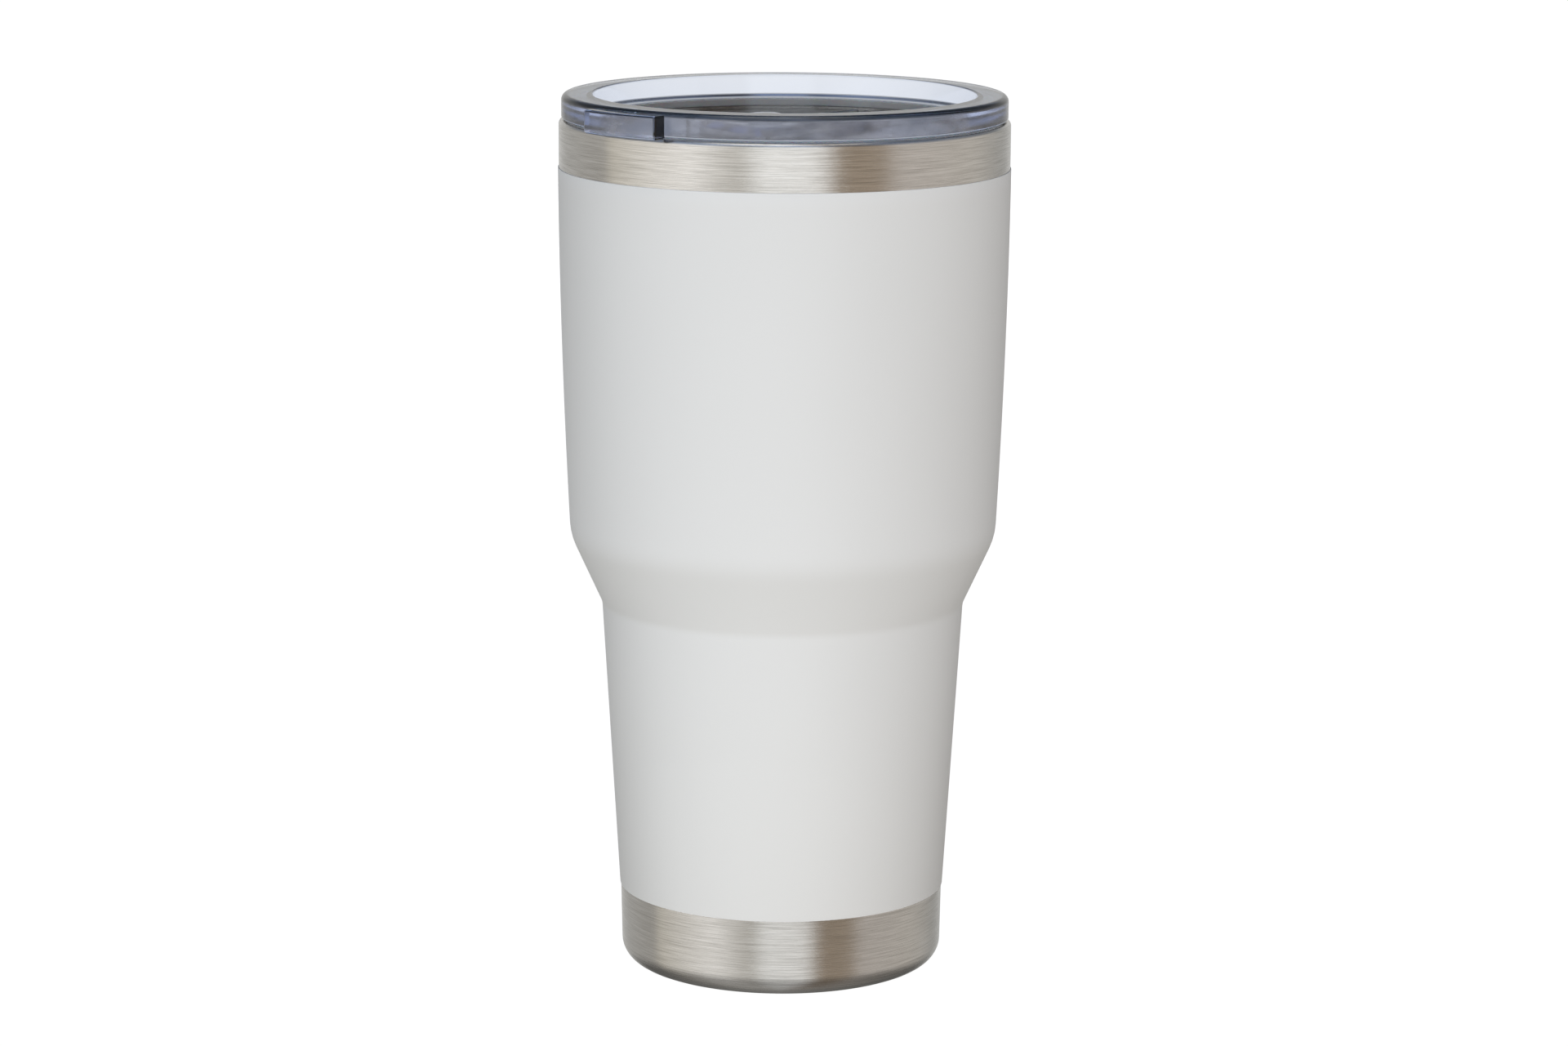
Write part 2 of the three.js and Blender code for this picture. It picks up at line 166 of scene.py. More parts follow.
# Brightness round the studio, by the angle in degrees from the camera's side of the object, with
# plus to the right: a broad soft box on the left, a strip at the front, a warm unlit gap right of
# it, and a weaker soft box on the right.
STUDIO = [
    (-180, (0.64, 0.64, 0.63)),
    (-164, (0.62, 0.62, 0.61)),
    (-150, (0.50, 0.50, 0.49)),
    (-104, (0.49, 0.48, 0.46)),
    (-99, (0.76, 0.73, 0.66)),
    (-48, (1.34, 1.33, 1.31)),
    (-20, (0.73, 0.71, 0.66)),
    (-14, (1.32, 1.34, 1.34)),
    (20, (1.28, 1.29, 1.29)),
    (26, (0.46, 0.38, 0.30)),
    (53, (0.46, 0.38, 0.30)),
    (57, (0.72, 0.67, 0.63)),
    (108, (0.66, 0.63, 0.59)),
    (143, (0.42, 0.42, 0.41)),
    (150, (0.45, 0.45, 0.44)),
    (164, (0.62, 0.62, 0.61)),
    (180, (0.64, 0.64, 0.63)),
]
# What that is multiplied by up and down, by the height of the direction: the boxes end above and
# below, and the room over them is dim and blue up to a small lamp overhead.
STUDIO_RISE = [
    (-1.0, (0.36, 0.36, 0.36)),
    (-0.75, (0.24, 0.24, 0.24)),
    (-0.56, (0.20, 0.20, 0.20)),
    (-0.36, (0.83, 0.83, 0.83)),
    (-0.1, (0.92, 0.92, 0.92)),
    (0.20, (0.88, 0.88, 0.88)),
    (0.38, (0.42, 0.46, 0.54)),
    (0.90, (0.17, 0.26, 0.45)),
    (0.95, (1.5, 1.5, 1.5)),
    (1.0, (1.6, 1.6, 1.6)),
]


def make_world():
    world = bpy.data.worlds.new("studio")
    bpy.context.scene.world = world
    world.use_nodes = True
    nodes, links = world.node_tree.nodes, world.node_tree.links
    background = nodes["Background"]
    coords = nodes.new("ShaderNodeTexCoord")
    split = nodes.new("ShaderNodeSeparateXYZ")
    links.new(coords.outputs["Generated"], split.inputs[0])
    front = nodes.new("ShaderNodeMath")
    front.operation = "MULTIPLY"
    front.inputs[1].default_value = -1.0
    links.new(split.outputs["Y"], front.inputs[0])
    angle = nodes.new("ShaderNodeMath")
    angle.operation = "ARCTAN2"
    links.new(split.outputs["X"], angle.inputs[0])
    links.new(front.outputs[0], angle.inputs[1])
    round_ramp = scaled_ramp(nodes, links, angle.outputs[0], math.pi)
    fill_ramp(round_ramp, [((degrees + 180) / 360, colour) for degrees, colour in STUDIO])
    rise_ramp = scaled_ramp(nodes, links, split.outputs["Z"], 1.0)
    fill_ramp(rise_ramp, [((height + 1) / 2, colour) for height, colour in STUDIO_RISE])
    product = nodes.new("ShaderNodeVectorMath")
    product.operation = "MULTIPLY"
    links.new(round_ramp.outputs[0], product.inputs[0])
    links.new(rise_ramp.outputs[0], product.inputs[1])
    links.new(product.outputs[0], background.inputs["Color"])


def scaled_ramp(nodes, links, source, limit):
    """A colour ramp that runs as its source goes from minus to plus a limit."""
    place = nodes.new("ShaderNodeMapRange")
    place.inputs["From Min"].default_value = -limit
    place.inputs["From Max"].default_value = limit
    links.new(source, place.inputs["Value"])
    ramp = nodes.new("ShaderNodeValToRGB")
    links.new(place.outputs[0], ramp.inputs[0])
    return ramp


def make_light(name, kind, azimuth, elevation, distance, energy, aim=0.0):
    """A light that the coat gets but nothing mirrors, at an angle right of the camera's side."""
    flat = distance * math.cos(elevation)
    data = bpy.data.lights.new(name, kind)
    data.energy = energy
    light = bpy.data.objects.new(name, data)
    bpy.context.collection.objects.link(light)
    light.location = (flat * math.sin(azimuth), -flat * math.cos(azimuth), distance * math.sin(elevation))
    light.rotation_euler = (Vector((0, 0, aim)) - light.location).to_track_quat("-Z", "Y").to_euler()
    light.visible_glossy = False
    light.visible_transmission = False
    return data


def make_lights():
    """Soft boxes at the front and back, and a soft spot that brightens the foot of the cup."""
    boxes = (("key", 14, 12, 1.0, 3.5), ("fill", 184, 12, 1.6, 4.0))
    for name, azimuth, elevation, distance, energy in boxes:
        box = make_light(name, "AREA", math.radians(azimuth), math.radians(elevation), distance, energy)
        box.shape = "RECTANGLE"
        box.size = 0.8
        box.size_y = 0.6
    spot = make_light("low", "SPOT", math.radians(-16), math.radians(6), 1.0, 4.8, 0.0)
    spot.spot_size = math.radians(18)
    spot.spot_blend = 1.0
    spot.shadow_soft_size = 0.1


def fill_ramp(ramp, stops):
    elements = ramp.color_ramp.elements
    while len(elements) < len(stops):
        elements.new(0.5)
    for element, (position, colour) in zip(elements, stops):
        element.position = position
        element.color = (*colour, 1.0)


def make_floor():
    size = 6.0
    mesh = bpy.data.meshes.new("floor")
    corners = [(-size, -size, 0), (size, -size, 0), (size, size, 0), (-size, size, 0)]
    mesh.from_pydata(corners, [], [(0, 1, 2, 3)])
    floor = bpy.data.objects.new("floor", mesh)
    bpy.context.collection.objects.link(floor)
    material = bpy.data.materials.new("floor")
    material.use_nodes = True
    shader = material.node_tree.nodes["Principled BSDF"]
    shader.inputs["Base Color"].default_value = (0.12, 0.12, 0.12, 1)
    shader.inputs["Roughness"].default_value = 0.9
    shader.inputs["Specular IOR Level"].default_value = 0.0
    shader.inputs["Emission Color"].default_value = (1, 1, 1, 1)
    shader.inputs["Emission Strength"].default_value = 0.97
    mesh.materials.append(material)
    floor.visible_glossy = False
    floor.visible_diffuse = False


# ---- Mesh helpers ----------------------------------------------------------------------------

ARC_STEP = math.radians(10)


def new_object(name, mesh):
    piece = bpy.data.objects.new(name, mesh)
    bpy.context.collection.objects.link(piece)
    return piece


def round_corner(before, corner, after, size):
    """Points of the arc that rounds a corner, or the corner itself where size is 0."""
    at = Vector(corner)
    back = (Vector(before) - at).normalized()
    ahead = (Vector(after) - at).normalized()
    half = back.angle(ahead) / 2
    turn = math.pi - 2 * half
    if size <= 0 or turn < 1e-4:
        return [at]
    centre = at + (back + ahead).normalized() * size / math.sin(half)
    start = at + back * size / math.tan(half) - centre
    side = 1.0 if start.cross(at - centre) > 0 else -1.0
    steps = max(2, math.ceil(turn / ARC_STEP))
    return [centre + Matrix.Rotation(side * turn * i / steps, 2) @ start for i in range(steps + 1)]


def rounded(corners, closed=True):
    """An outline with each of its (x, y, rounding) corners rounded."""
    points = []
    count = len(corners)
    for i, (x, y, size) in enumerate(corners):
        ends = not closed and i in (0, count - 1)
        if ends or size <= 0:
            points.append(Vector((x, y)))
        else:
            before = corners[i - 1][:2]
            after = corners[(i + 1) % count][:2]
            points.extend(round_corner(before, (x, y), after, size))
    return points


def turned(name, outline, segments=ROUND):
    """Spins an outline of (radius, height) points round Z, closed on itself or on the axis."""
    mesh = bpy.data.meshes.new(name)
    build = bmesh.new()
    rings = []
    for radius, height in outline:
        if radius < 1e-6:
            rings.append([build.verts.new((0, 0, height * MM))] * segments)
            continue
        ring = []
        for i in range(segments):
            angle = 2 * math.pi * i / segments
            spot = (radius * math.cos(angle) * MM, radius * math.sin(angle) * MM, height * MM)
            ring.append(build.verts.new(spot))
        rings.append(ring)
    on_axis = outline[0][0] < 1e-6
    pairs = list(zip(rings, rings[1:])) + ([] if on_axis else [(rings[-1], rings[0])])
    for low, high in pairs:
        for i in range(segments):
            j = (i + 1) % segments
            corners = [low[i], low[j], high[j], high[i]]
            face = list(dict.fromkeys(corners))
            if len(face) > 2:
                build.faces.new(face)
    finish_mesh(build, mesh)
    return new_object(name, mesh)


def lofted(name, loops):
    """Joins loops of 3-D points, each as long as the next, and closes both ends."""
    mesh = bpy.data.meshes.new(name)
    build = bmesh.new()
    rings = [[build.verts.new(Vector(p) * MM) for p in loop] for loop in loops]
    count = len(rings[0])
    for low, high in zip(rings, rings[1:]):
        for i in range(count):
            j = (i + 1) % count
            build.faces.new([low[i], low[j], high[j], high[i]])
    build.faces.new(list(reversed(rings[0])))
    build.faces.new(rings[-1])
    finish_mesh(build, mesh)
    return new_object(name, mesh)


def finish_mesh(build, mesh, sharp=math.radians(32)):
    bmesh.ops.recalc_face_normals(build, faces=build.faces)
    for face in build.faces:
        face.smooth = True
    for edge in build.edges:
        if len(edge.link_faces) == 2 and edge.calc_face_angle() > sharp:
            edge.smooth = False
    build.to_mesh(mesh)
    build.free()


def flat_box(x0, x1, y0, y1, corner):
    """Corners of a rectangle with rounded corners, for rounded()."""
    return [(x0, y0, corner), (x1, y0, corner), (x1, y1, corner), (x0, y1, corner)]


def layer(x0, x1, y0, y1, corner, height, inset=0.0):
    """One loop of a rounded rectangle at a height, shrunk by an inset."""
    box = flat_box(x0 + inset, x1 - inset, y0 + inset, y1 - inset, max(corner - inset, 0.05))
    return [(p.x, p.y, height) for p in rounded(box)]


def soft_block(name, x0, x1, y0, y1, corner, low, high, edge):
    """A rounded rectangle raised from low to high, with its top and bottom edges rounded too."""
    quarter = [math.pi / 2 * i / 4 for i in range(5)]
    rise = [(low + edge * (1 - math.cos(a)), edge * (1 - math.sin(a))) for a in quarter]
    loops = [layer(x0, x1, y0, y1, corner, height, inset) for height, inset in rise]
    loops += [layer(x0, x1, y0, y1, corner, low + high - height, inset) for height, inset in reversed(rise)]
    return lofted(name, loops)


def hole_cutter(name, x0, x1, y0, y1, corner, edge=0.35):
    """A cutter through the lid's floor that leaves the hole's edges rounded."""
    low, high = LID_UNDERSIDE, LID_FLOOR
    quarter = [math.pi / 2 * i / 4 for i in range(5)]
    flare = [(edge * (1 - math.cos(a)), -edge * (1 - math.sin(a))) for a in quarter]
    heights = [(low - 1, -edge)] + [(low + rise, inset) for rise, inset in flare]
    heights += [(high - rise, inset) for rise, inset in reversed(flare)] + [(high + 1, -edge)]
    return lofted(name, [layer(x0, x1, y0, y1, corner, height, inset) for height, inset in heights])


def combined(base, added=(), removed=()):
    """Joins and cuts with exact booleans, leaves base with the result, and deletes the others."""
    for others, operation in ((added, "UNION"), (removed, "DIFFERENCE")):
        for other in others:
            cut = base.modifiers.new(operation.lower(), "BOOLEAN")
            cut.operation = operation
            cut.solver = "EXACT"
            cut.object = other
    depsgraph = bpy.context.evaluated_depsgraph_get()
    mesh = bpy.data.meshes.new_from_object(base.evaluated_get(depsgraph))
    base.modifiers.clear()
    old = base.data
    base.data = mesh
    bpy.data.meshes.remove(old)
    for other in (*added, *removed):
        bpy.data.objects.remove(other)
    build = bmesh.new()
    build.from_mesh(base.data)
    bmesh.ops.remove_doubles(build, verts=build.verts, dist=1e-7)
    finish_mesh(build, base.data)
    weigh_normals(base)
    return base


def weigh_normals(piece):
    """Keeps broad flat faces flat next to their rounded edges."""
    weighted = piece.modifiers.new("weighted", "WEIGHTED_NORMAL")
    weighted.keep_sharp = True
    weighted.weight = 100


def turn_about_axis(piece, angle):
    piece.data.transform(Matrix.Rotation(angle, 4, "Z"))
    return piece


def dress(piece, material, body, slot, *replaced):
    """Gives a piece its material and its body, and hides the CAD nodes that it stands for. The slot is not
    used.
    """
    piece.data.materials.clear()
    piece.data.materials.append(material)
    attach(piece, body)
    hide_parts(*replaced)
    return piece


# ---- The cup's shape -------------------------------------------------------------------------


def wall_corners():
    """The steel's outer face from the foot to the rim, as corners for rounded()."""
    corners = [(BASE_RADIUS, CORNER, 0), (FOOT_RADIUS, COAT_BOTTOM, 0), NECK, SHOULDER]
    steps = 24
    for i in range(1, steps + 1):
        part = i / steps
        bulge = 4 * WALL_BULGE * part * (1 - part)
        radius = SHOULDER[0] + (RIM_RADIUS - SHOULDER[0]) * part + bulge
        corners.append((radius, SHOULDER[1] + (COAT_TOP - SHOULDER[1]) * part, 0))
    return corners


WALL = rounded(wall_corners(), closed=False)


def wall_radius(height):
    for low, high in zip(WALL, WALL[1:]):
        if height <= high.y:
            return low.x + (high.x - low.x) * (height - low.y) / (high.y - low.y)
    return RIM_RADIUS


def wall_between(low, high, inset):
    """Points of the wall between two heights, moved towards the axis by an inset."""
    middle = [(p.x - inset, p.y) for p in WALL if low < p.y < high]
    return [(wall_radius(low) - inset, low), *middle, (wall_radius(high) - inset, high)]


def corner_arc(radius, size, start, end):
    """Arc of a rounding centred at height CORNER, between two angles in degrees."""
    steps = 10
    angles = [math.radians(start + (end - start) * i / steps) for i in range(steps + 1)]
    return [(radius + size * math.cos(a), CORNER + size * math.sin(a)) for a in angles]


def shell_outline():
    """The wall from the base ring up to the lip, which turns over inwards onto the liner."""
    inner = RIM_RADIUS - WALL_DEPTH
    lip = RIM_TOP - 2.8
    flat = WALL[0].x - CORNER
    start = RIM_TOP - 2.5
    over = [(RIM_RADIUS, start, 0), (RIM_RADIUS, RIM_TOP, 1.0), (inner, RIM_TOP, 1.7), (inner, lip, 0)]
    under = [
        (inner + SHELL_WALL, lip, 0), (inner + SHELL_WALL, RIM_TOP - SHELL_WALL, 1.1),
        (RIM_RADIUS - SHELL_WALL, RIM_TOP - SHELL_WALL, 0.4), (RIM_RADIUS - SHELL_WALL, start, 0),
    ]
    outside, inside = (wall_between(CORNER + 0.01, start - 0.01, depth) for depth in (0, SHELL_WALL))
    return [
        (BASE_OPENING + 0.3, 0), *corner_arc(flat, CORNER, -90, 0), *outside,
        *map(tuple, rounded(over, closed=False)), *map(tuple, rounded(under, closed=False)), *reversed(inside),
        *corner_arc(flat, CORNER - SHELL_WALL, 0, -90), (BASE_OPENING, SHELL_WALL), (BASE_OPENING, 0.3),
    ]


def coat_outline():
    """The coat's skin, with its two edges rounded where the masking ended."""
    outer = RIM_RADIUS - COAT_RADIUS
    edge = 0.09
    soft = 0.05
    outside = wall_between(COAT_BOTTOM + edge, COAT_TOP - edge, outer)
    inside = wall_between(COAT_BOTTOM, COAT_TOP, -COAT_GAP)
    low, high = wall_radius(COAT_BOTTOM) - outer, wall_radius(COAT_TOP) - outer
    return [
        (low - edge, COAT_BOTTOM), (low - soft * 0.6, COAT_BOTTOM + soft * 0.6), *outside,
        (high - soft * 0.6, COAT_TOP - soft * 0.6), (high - edge, COAT_TOP), *reversed(inside),
    ]


def liner_outline():
    """Tube and bottom of the liner in one smooth skin, as welded and ground on the real cup."""
    inner = wall_radius(LINER_SEAM) - WALL_DEPTH
    corner = inner - LINER_CORNER
    height = LINER_FLOOR + LINER_CORNER
    lift = height - CORNER
    bowl = [(r, z + lift) for r, z in corner_arc(corner, LINER_CORNER, -90, 0)]
    under = [(r, z + lift) for r, z in corner_arc(corner, LINER_CORNER + LINER_WALL, -90, 0)]
    inside = wall_between(LINER_SEAM, LINER_TOP, WALL_DEPTH)
    outside = wall_between(LINER_SEAM, LINER_TOP, WALL_DEPTH - LINER_WALL)
    return [
        (0, LINER_FLOOR - LINER_WALL), *under, *outside,
        *reversed(inside), *reversed(bowl), (0, LINER_FLOOR),
    ]


def cap_outline():
    wall = 0.7
    corners = [
        (CAP_RADIUS, CAP_BOTTOM, 1.0), (CAP_RADIUS, CAP_TOP, 0.2),
        (CAP_RADIUS - wall, CAP_TOP, 0.2), (CAP_RADIUS - wall, CAP_BOTTOM + wall, 0.5),
    ]
    turned_up = rounded([(0, CAP_BOTTOM, 0), *corners, (0, CAP_BOTTOM + wall, 0)], closed=False)
    return [tuple(p) for p in turned_up]


# ---- The lid's shape -------------------------------------------------------------------------


def lid_outline():
    ring_bottom = RIM_TOP + LID_REST
    recess = LID_MOUTH - LID_TAPER
    groove = PLUG_RADIUS - GROOVE_DEPTH
    corners = [
        (0, LID_UNDERSIDE, 0),
        (PLUG_INNER, LID_UNDERSIDE, 0.8),
        (PLUG_INNER, PLUG_BOTTOM, 0.4),
        (PLUG_RADIUS, PLUG_BOTTOM, 0.7),
        (PLUG_RADIUS, GASKET_BOTTOM - 0.15, 0.15),
        (groove, GASKET_BOTTOM - 0.15, 0.15),
        (groove, ring_bottom, 0.15),
        (LID_RADIUS, ring_bottom, 0.55),
        (LID_RADIUS, LID_TOP, 1.4),
        (LID_MOUTH, LID_TOP, 0.5),
        (recess, LID_FLOOR, 1.2),
        (0, LID_FLOOR, 0),
    ]
    return [tuple(p) for p in rounded(corners, closed=False)]


def tab_loop(height, inset):
    """One loop of the thumb tab, bent round the ring, at a height."""
    box = flat_box(-TAB_HALF + inset, TAB_HALF - inset, TAB_ROOT, TAB_REACH - inset, 0)
    near, far = (box[0], box[1]), (box[2], box[3])
    outline = [
        (near[0][0], near[0][1], 0), (near[1][0], near[1][1], 0),
        (far[0][0], far[0][1], 0.7), (far[1][0], far[1][1], 0.7),
    ]
    points = []
    for start, end in zip(rounded(outline), rounded(outline)[1:] + rounded(outline)[:1]):
        steps = max(1, round((end - start).length / 0.8))
        points.extend(start.lerp(end, i / steps) for i in range(steps))
    loop = []
    for point in points:
        angle = math.pi + point.x / TAB_REACH
        loop.append((point.y * math.cos(angle), point.y * math.sin(angle), height))
    return loop


def thumb_tab():
    edge = 0.6
    quarter = [math.pi / 2 * i / 4 for i in range(5)]
    rise = [(edge * (1 - math.cos(a)), edge * (1 - math.sin(a))) for a in quarter]
    loops = [tab_loop(TAB_BOTTOM + height, inset) for height, inset in rise]
    loops += [tab_loop(TAB_TOP - height, inset) for height, inset in reversed(rise)]
    return lofted("tab", loops)


def lid_rail(side):
    low, high = sorted((side * (RAIL_OFFSET - RAIL_HALF), side * (RAIL_OFFSET + RAIL_HALF)))
    top = LID_FLOOR + RAIL_HEIGHT
    return soft_block("rail", *RAIL_ENDS, low, high, 0.55, LID_FLOOR - 0.8, top, 0.3)


def vent_cutter():
    low, high = LID_UNDERSIDE - 1, LID_FLOOR + 1
    cutter = turned("vent", [(0, low), (VENT_RADIUS, low), (VENT_RADIUS, high), (0, high)], 32)
    cutter.data.transform(Matrix.Translation((VENT_CENTRE * MM, 0, 0)))
    return cutter


def make_lid():
    lid = turned("lid_clear", lid_outline())
    sip_ends = (SIP_CENTRE - SIP_HALF[0], SIP_CENTRE + SIP_HALF[0])
    sip = hole_cutter("sip", *sip_ends, -SIP_HALF[1], SIP_HALF[1], 4.0)
    slot = hole_cutter("slot", *SLOT_ENDS, -SLOT_HALF, SLOT_HALF, 0.8, 0.2)
    added = [turn_about_axis(piece, LID_TURN) for piece in (thumb_tab(), lid_rail(-1), lid_rail(1))]
    removed = [turn_about_axis(piece, LID_TURN) for piece in (sip, slot, vent_cutter())]
    return combined(lid, added, removed)


def make_gasket():
    inner = PLUG_RADIUS - GROOVE_DEPTH + 0.15
    waist = PLUG_RADIUS + 0.2
    middle = (GASKET_BOTTOM + GASKET_TOP) / 2
    corners = [
        (inner, GASKET_BOTTOM, 0.2), (waist, GASKET_BOTTOM, 0.2), (GASKET_RADIUS, GASKET_BOTTOM + 0.35, 0.15),
        (waist, middle, 0.15), (GASKET_RADIUS, GASKET_TOP - 0.35, 0.15), (waist, GASKET_TOP, 0.2),
        (inner, GASKET_TOP, 0.2),
    ]
    return turned("gasket", [tuple(p) for p in rounded(corners)])


def knob():
    corners = [
        (0, PLATE_TOP - 0.8, 0), (KNOB_FOOT, PLATE_TOP - 0.8, 0), (KNOB_FOOT, PLATE_TOP, 0.1),
        (KNOB_RADIUS, PLATE_TOP + 0.9, 0.8), (KNOB_RADIUS, KNOB_TOP - 0.25, 0.8), (0, KNOB_TOP, 0),
    ]
    shape = turned("knob", [tuple(p) for p in rounded(corners, closed=False)], SMALL_ROUND)
    shape.data.transform(Matrix.Translation((KNOB_CENTRE * MM, 0, 0)))
    return shape


def cover_leg(side):
    """One snap leg, drawn across the slide and raised along it."""
    section = rounded([
        (LEG_INNER, PLATE_BOTTOM + 0.6, 0), (LEG_INNER, LEG_BOTTOM, 0.3), (LEG_OUTER, LEG_BOTTOM, 0.3),
        (LEG_BARB, LID_UNDERSIDE - 0.7, 0.2), (LEG_BARB, LID_UNDERSIDE - LID_REST, 0.15),
        (LEG_OUTER, LID_UNDERSIDE - LID_REST, 0.1), (LEG_OUTER, PLATE_BOTTOM + 0.6, 0),
    ])
    return lofted("leg", [[(x, side * p.x, p.y) for p in section] for x in LEG_ENDS])


def make_cover():
    plate = soft_block("sip_slider", *PLATE_ENDS, -PLATE_HALF, PLATE_HALF, 4.0, PLATE_BOTTOM, PLATE_TOP, 0.4)
    cover = combined(plate, [knob(), cover_leg(-1), cover_leg(1)])
    return turn_about_axis(cover, LID_TURN)


# ---- Materials -------------------------------------------------------------------------------


class Surface:
    """A Principled material, with short calls for the nodes that every finish here uses."""

    def __init__(self, name, **values):
        self.material = bpy.data.materials.new(name)
        self.material.use_nodes = True
        self.nodes = self.material.node_tree.nodes
        self.links = self.material.node_tree.links
        self.shader = self.nodes["Principled BSDF"]
        self.coords = self.nodes.new("ShaderNodeTexCoord")
        for socket, value in values.items():
            self.shader.inputs[socket.replace("_", " ")].default_value = value

    def noise(self, scale, stretch=(1, 1, 1), detail=3.0, roughness=0.55):
        mapping = self.nodes.new("ShaderNodeMapping")
        mapping.inputs["Scale"].default_value = stretch
        self.links.new(self.coords.outputs["Object"], mapping.inputs["Vector"])
        noise = self.nodes.new("ShaderNodeTexNoise")
        noise.inputs["Scale"].default_value = scale
        noise.inputs["Detail"].default_value = detail
        noise.inputs["Roughness"].default_value = roughness
        self.links.new(mapping.outputs[0], noise.inputs["Vector"])
        return noise.outputs["Fac"]

    def ramp(self, source, stops):
        ramp = self.nodes.new("ShaderNodeValToRGB")
        fill_ramp(ramp, stops)
        self.links.new(source, ramp.inputs[0])
        return ramp.outputs[0]

    def spread(self, source, low, high, source_low=0.3, source_high=0.7):
        spread = self.nodes.new("ShaderNodeMapRange")
        spread.inputs["From Min"].default_value = source_low
        spread.inputs["From Max"].default_value = source_high
        spread.inputs["To Min"].default_value = low
        spread.inputs["To Max"].default_value = high
        self.links.new(source, spread.inputs["Value"])
        return spread.outputs[0]

    def bump(self, source, strength, distance, onto=None):
        bump = self.nodes.new("ShaderNodeBump")
        bump.inputs["Strength"].default_value = strength
        bump.inputs["Distance"].default_value = distance
        self.links.new(source, bump.inputs["Height"])
        if onto is not None:
            self.links.new(onto, bump.inputs["Normal"])
        return bump.outputs[0]

    def vector(self, operation, one, other=None):
        result = self.nodes.new("ShaderNodeVectorMath")
        result.operation = operation
        self.links.new(one, result.inputs[0])
        if isinstance(other, tuple):
            result.inputs[1].default_value = other
        elif other is not None:
            self.links.new(other, result.inputs[1])
        return result.outputs["Value" if operation in ("LENGTH", "DOT_PRODUCT") else "Vector"]

    def off_axis(self):
        """The level vector from the Z axis to the point."""
        return self.vector("MULTIPLY", self.coords.outputs["Object"], (1, 1, 0))

    def radius(self):
        """Distance from the Z axis, in metres."""
        return self.vector("LENGTH", self.off_axis())

    def facing_out(self):
        """How squarely the surface faces away from the Z axis: 1 is straight out, 0 is sideways."""
        outward = self.vector("NORMALIZE", self.off_axis())
        return self.vector("DOT_PRODUCT", outward, self.coords.outputs["Normal"])

    def math(self, operation, one, other):
        result = self.nodes.new("ShaderNodeMath")
        result.operation = operation
        for socket, source in zip(result.inputs, (one, other)):
            if isinstance(source, float):
                socket.default_value = source
            else:
                self.links.new(source, socket)
        return result.outputs[0]

    def feed(self, socket, source):
        self.links.new(source, self.shader.inputs[socket])

    def brushed_round_axis(self, amount):
        """Stretches the gloss up and down, as fine grooves round the Z axis do."""
        tangent = self.nodes.new("ShaderNodeTangent")
        tangent.direction_type = "RADIAL"
        tangent.axis = "Z"
        self.shader.inputs["Anisotropic"].default_value = amount
        self.shader.inputs["Anisotropic Rotation"].default_value = 0.25
        self.links.new(tangent.outputs[0], self.shader.inputs["Tangent"])


def shell_steel():
    steel = Surface("brushed_steel", Metallic=1.0)
    streaks = steel.noise(90, (1, 1, 70), 4.0, 0.65)
    fine = steel.noise(220, (1, 1, 90), 3.0, 0.65)
    tone = [(0.28, (0.50, 0.48, 0.45)), (0.5, (0.72, 0.697, 0.66)), (0.72, (0.90, 0.875, 0.845))]
    steel.feed("Base Color", steel.ramp(streaks, tone))
    steel.feed("Roughness", steel.spread(fine, 0.20, 0.29))
    steel.feed("Normal", steel.bump(streaks, 0.4, 0.00004, steel.bump(fine, 0.35, 0.00002)))
    steel.brushed_round_axis(0.93)
    return steel.material


def liner_steel():
    steel = Surface("liner_steel", Metallic=1.0)
    lines = steel.noise(90, (1, 1, 30), 3.0, 0.5)
    cloud = steel.noise(45, (1, 1, 1), 2.0, 0.5)
    steel.feed("Base Color", steel.ramp(lines, [(0.3, (0.80, 0.785, 0.76)), (0.7, (0.90, 0.885, 0.86))]))
    steel.feed("Roughness", steel.spread(cloud, 0.30, 0.42))
    steel.feed("Normal", steel.bump(lines, 0.15, 0.00003))
    steel.brushed_round_axis(0.85)
    return steel.material


def powder_coat():
    coat = Surface("powder_coat")
    peel = coat.noise(1400, (1, 1, 1), 2.0, 0.5)
    grain = coat.noise(5200, (1, 1, 1), 2.0, 0.6)
    drift = coat.noise(18, (1, 1, 0.6), 2.0, 0.5)
    tone = [(0.3, (0.835, 0.837, 0.822)), (0.7, (0.857, 0.859, 0.844))]
    coat.feed("Base Color", coat.ramp(drift, tone))
    coat.feed("Roughness", coat.spread(grain, 0.46, 0.60))
    coat.feed("Normal", coat.bump(peel, 0.22, 0.00008, coat.bump(grain, 0.12, 0.00002)))
    return coat.material


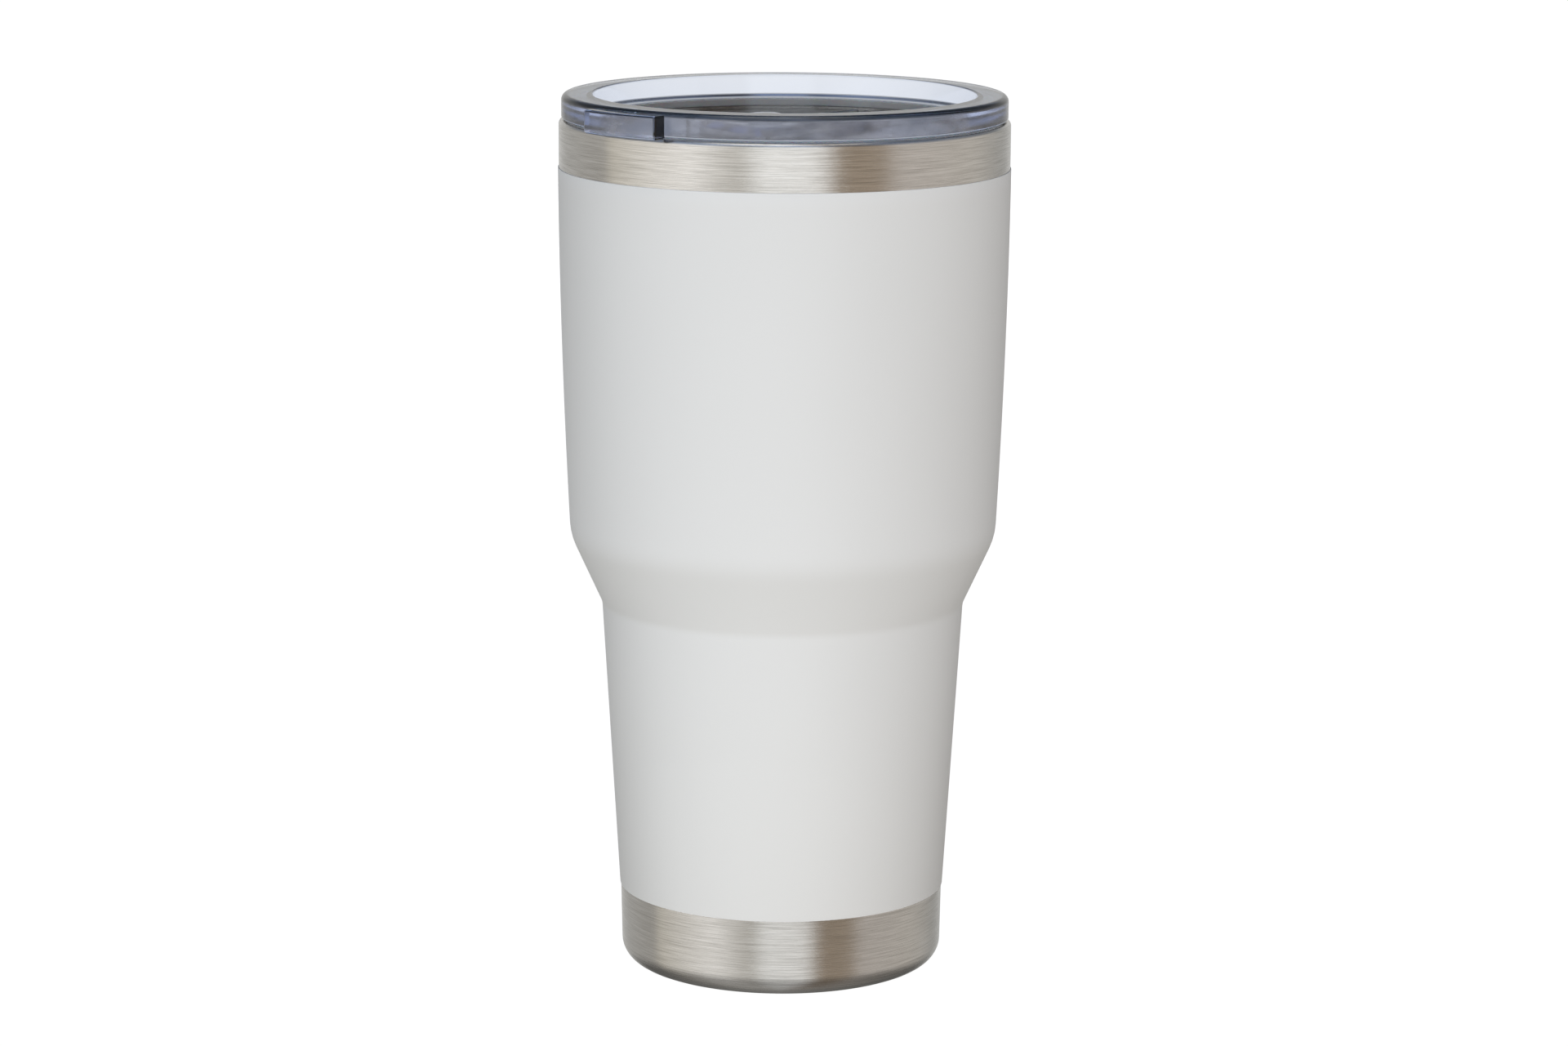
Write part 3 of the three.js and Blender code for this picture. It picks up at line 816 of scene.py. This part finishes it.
def clear_plastic():
    clear = Surface("clear_plastic", IOR=1.54)
    ripple = clear.noise(60, (1, 1, 1), 2.0, 0.5)
    cloud = clear.noise(110, (1, 1, 2.5), 3.0, 0.6)
    scuff = clear.noise(900, (1, 1, 1), 3.0, 0.6)
    ring = clear.spread(clear.radius(), 0.0, 1.0, (LID_RADIUS - 1.0) * MM, (LID_RADIUS - 0.5) * MM)
    skirt = clear.math("MULTIPLY", ring, clear.spread(clear.facing_out(), 0.0, 1.0, 0.93, 0.99))
    milk = clear.math("MULTIPLY", skirt, clear.spread(cloud, 0.08, 0.30))
    clear.feed("Transmission Weight", clear.math("SUBTRACT", 1.0, milk))
    clear.feed("Base Color", clear.ramp(skirt, [(0.0, (1.0, 0.985, 0.94)), (1.0, (0.86, 0.88, 1.0))]))
    haze = clear.math("MULTIPLY", skirt, 0.12)
    clear.feed("Roughness", clear.math("ADD", haze, clear.spread(scuff, 0.0, 0.03, 0.55, 0.8)))
    clear.feed("Normal", clear.bump(ripple, 0.15, 0.0002))
    tint = clear.nodes.new("ShaderNodeVolumeAbsorption")
    tint.inputs["Color"].default_value = (0.0, 0.2, 0.62, 1)
    tint.inputs["Density"].default_value = 41.0
    output = clear.nodes["Material Output"]
    clear.links.new(tint.outputs[0], output.inputs["Volume"])
    return clear.material


def silicone():
    rubber = Surface("silicone", Subsurface_Weight=0.4, Subsurface_Scale=0.002)
    mottle = rubber.noise(400, (1, 1, 1), 2.0, 0.5)
    rubber.feed("Base Color", rubber.ramp(mottle, [(0.3, (0.94, 0.94, 0.94)), (0.7, (0.98, 0.98, 0.98))]))
    rubber.feed("Roughness", rubber.spread(mottle, 0.38, 0.5))
    rubber.feed("Normal", rubber.bump(mottle, 0.1, 0.00005))
    return rubber.material


def plain_metal(name, dark, light, rough, scale):
    metal = Surface(name, Metallic=1.0)
    mottle = metal.noise(scale, (1, 1, 1), 3.0, 0.6)
    metal.feed("Base Color", metal.ramp(mottle, [(0.3, dark), (0.7, light)]))
    metal.feed("Roughness", metal.spread(mottle, rough - 0.06, rough + 0.06))
    metal.feed("Normal", metal.bump(mottle, 0.15, 0.00004))
    return metal.material


def seal_glass():
    glass = Surface("seal_glass", Transmission_Weight=0.6, IOR=1.6)
    cloud = glass.noise(500, (1, 1, 1), 2.0, 0.5)
    glass.feed("Base Color", glass.ramp(cloud, [(0.3, (0.10, 0.18, 0.14)), (0.7, (0.2, 0.32, 0.26))]))
    glass.feed("Roughness", glass.spread(cloud, 0.05, 0.18))
    return glass.material


# ---- Assembly --------------------------------------------------------------------------------


def dress_hidden_pieces(steel):
    """The pieces inside the walls keep their CAD meshes and get real finishes."""
    copper = plain_metal("copper_foil", (0.62, 0.33, 0.2), (0.78, 0.48, 0.34), 0.28, 200)
    getter = plain_metal("getter_metal", (0.25, 0.24, 0.23), (0.36, 0.35, 0.33), 0.62, 900)
    finishes = {
        "copper_foil": copper, "getter_pill": getter, "getter_clip": steel,
        "vacuum_port_plate": steel, "port_seal_bead": seal_glass(),
    }
    for node, material in finishes.items():
        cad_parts[node].material_slots[0].material = material


def build():
    make_camera()
    make_world()
    make_lights()
    make_floor()
    steel = shell_steel()
    inner = liner_steel()
    clear = clear_plastic()
    dress(turned("shell", shell_outline()), steel, "cup", "shell_steel", "outer_shell")
    dress(turned("coat", coat_outline()), powder_coat(), "cup", "powder_coat", "powder_coat")
    dress(turned("liner", liner_outline()), inner, "cup", "liner_steel", "liner_wall", "liner_bottom")
    dress(turned("foot_cap", cap_outline()), steel, "cup", "shell_steel", "base_cap")
    dress(make_lid(), clear, "lid", "clear_plastic", "lid_body")
    dress(make_gasket(), silicone(), "lid", "silicone", "lid_gasket")
    dress(make_cover(), clear, "slider", "clear_plastic", "sip_cover")
    dress_hidden_pieces(steel)
    bpy.context.scene.view_settings.view_transform = "Standard"


build()
